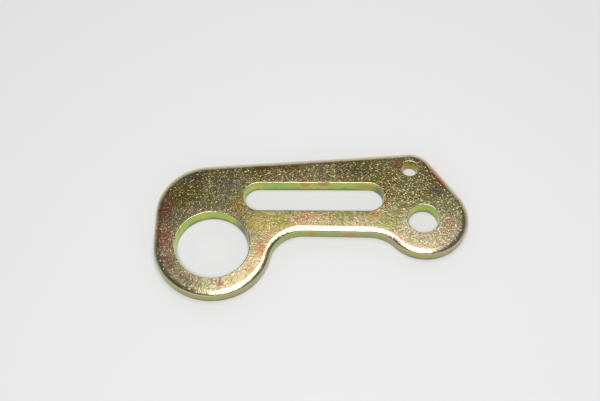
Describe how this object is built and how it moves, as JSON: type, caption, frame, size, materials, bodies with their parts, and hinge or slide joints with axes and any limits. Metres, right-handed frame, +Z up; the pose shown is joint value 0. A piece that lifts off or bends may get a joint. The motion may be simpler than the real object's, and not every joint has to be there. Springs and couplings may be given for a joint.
{
  "type": "casement window stay plate",
  "caption": "Flat blanked stay plate with a large eye in a rounded boss, a long straight guide slot, a pivot hole in a smaller boss and a pin hole in the sloping corner.",
  "frame": {"origin": "centre of the plate's bounding box, on its underside", "axes": "+X along the guide slot from the eye to the pivot hole, +Y across the plate towards its straight upper edge, +Z up out of the face with the rounded rims"},
  "size_m": [0.0964, 0.0506, 0.004],
  "materials": {
    "plated_steel": "zinc plate with yellow passivation: semi-gloss olive gold with green, pink and brown patches, brighter green on the pressed walls"
  },
  "bodies": {
    "root": {"stay_plate": "plated_steel"}
  },
  "joints": []
}
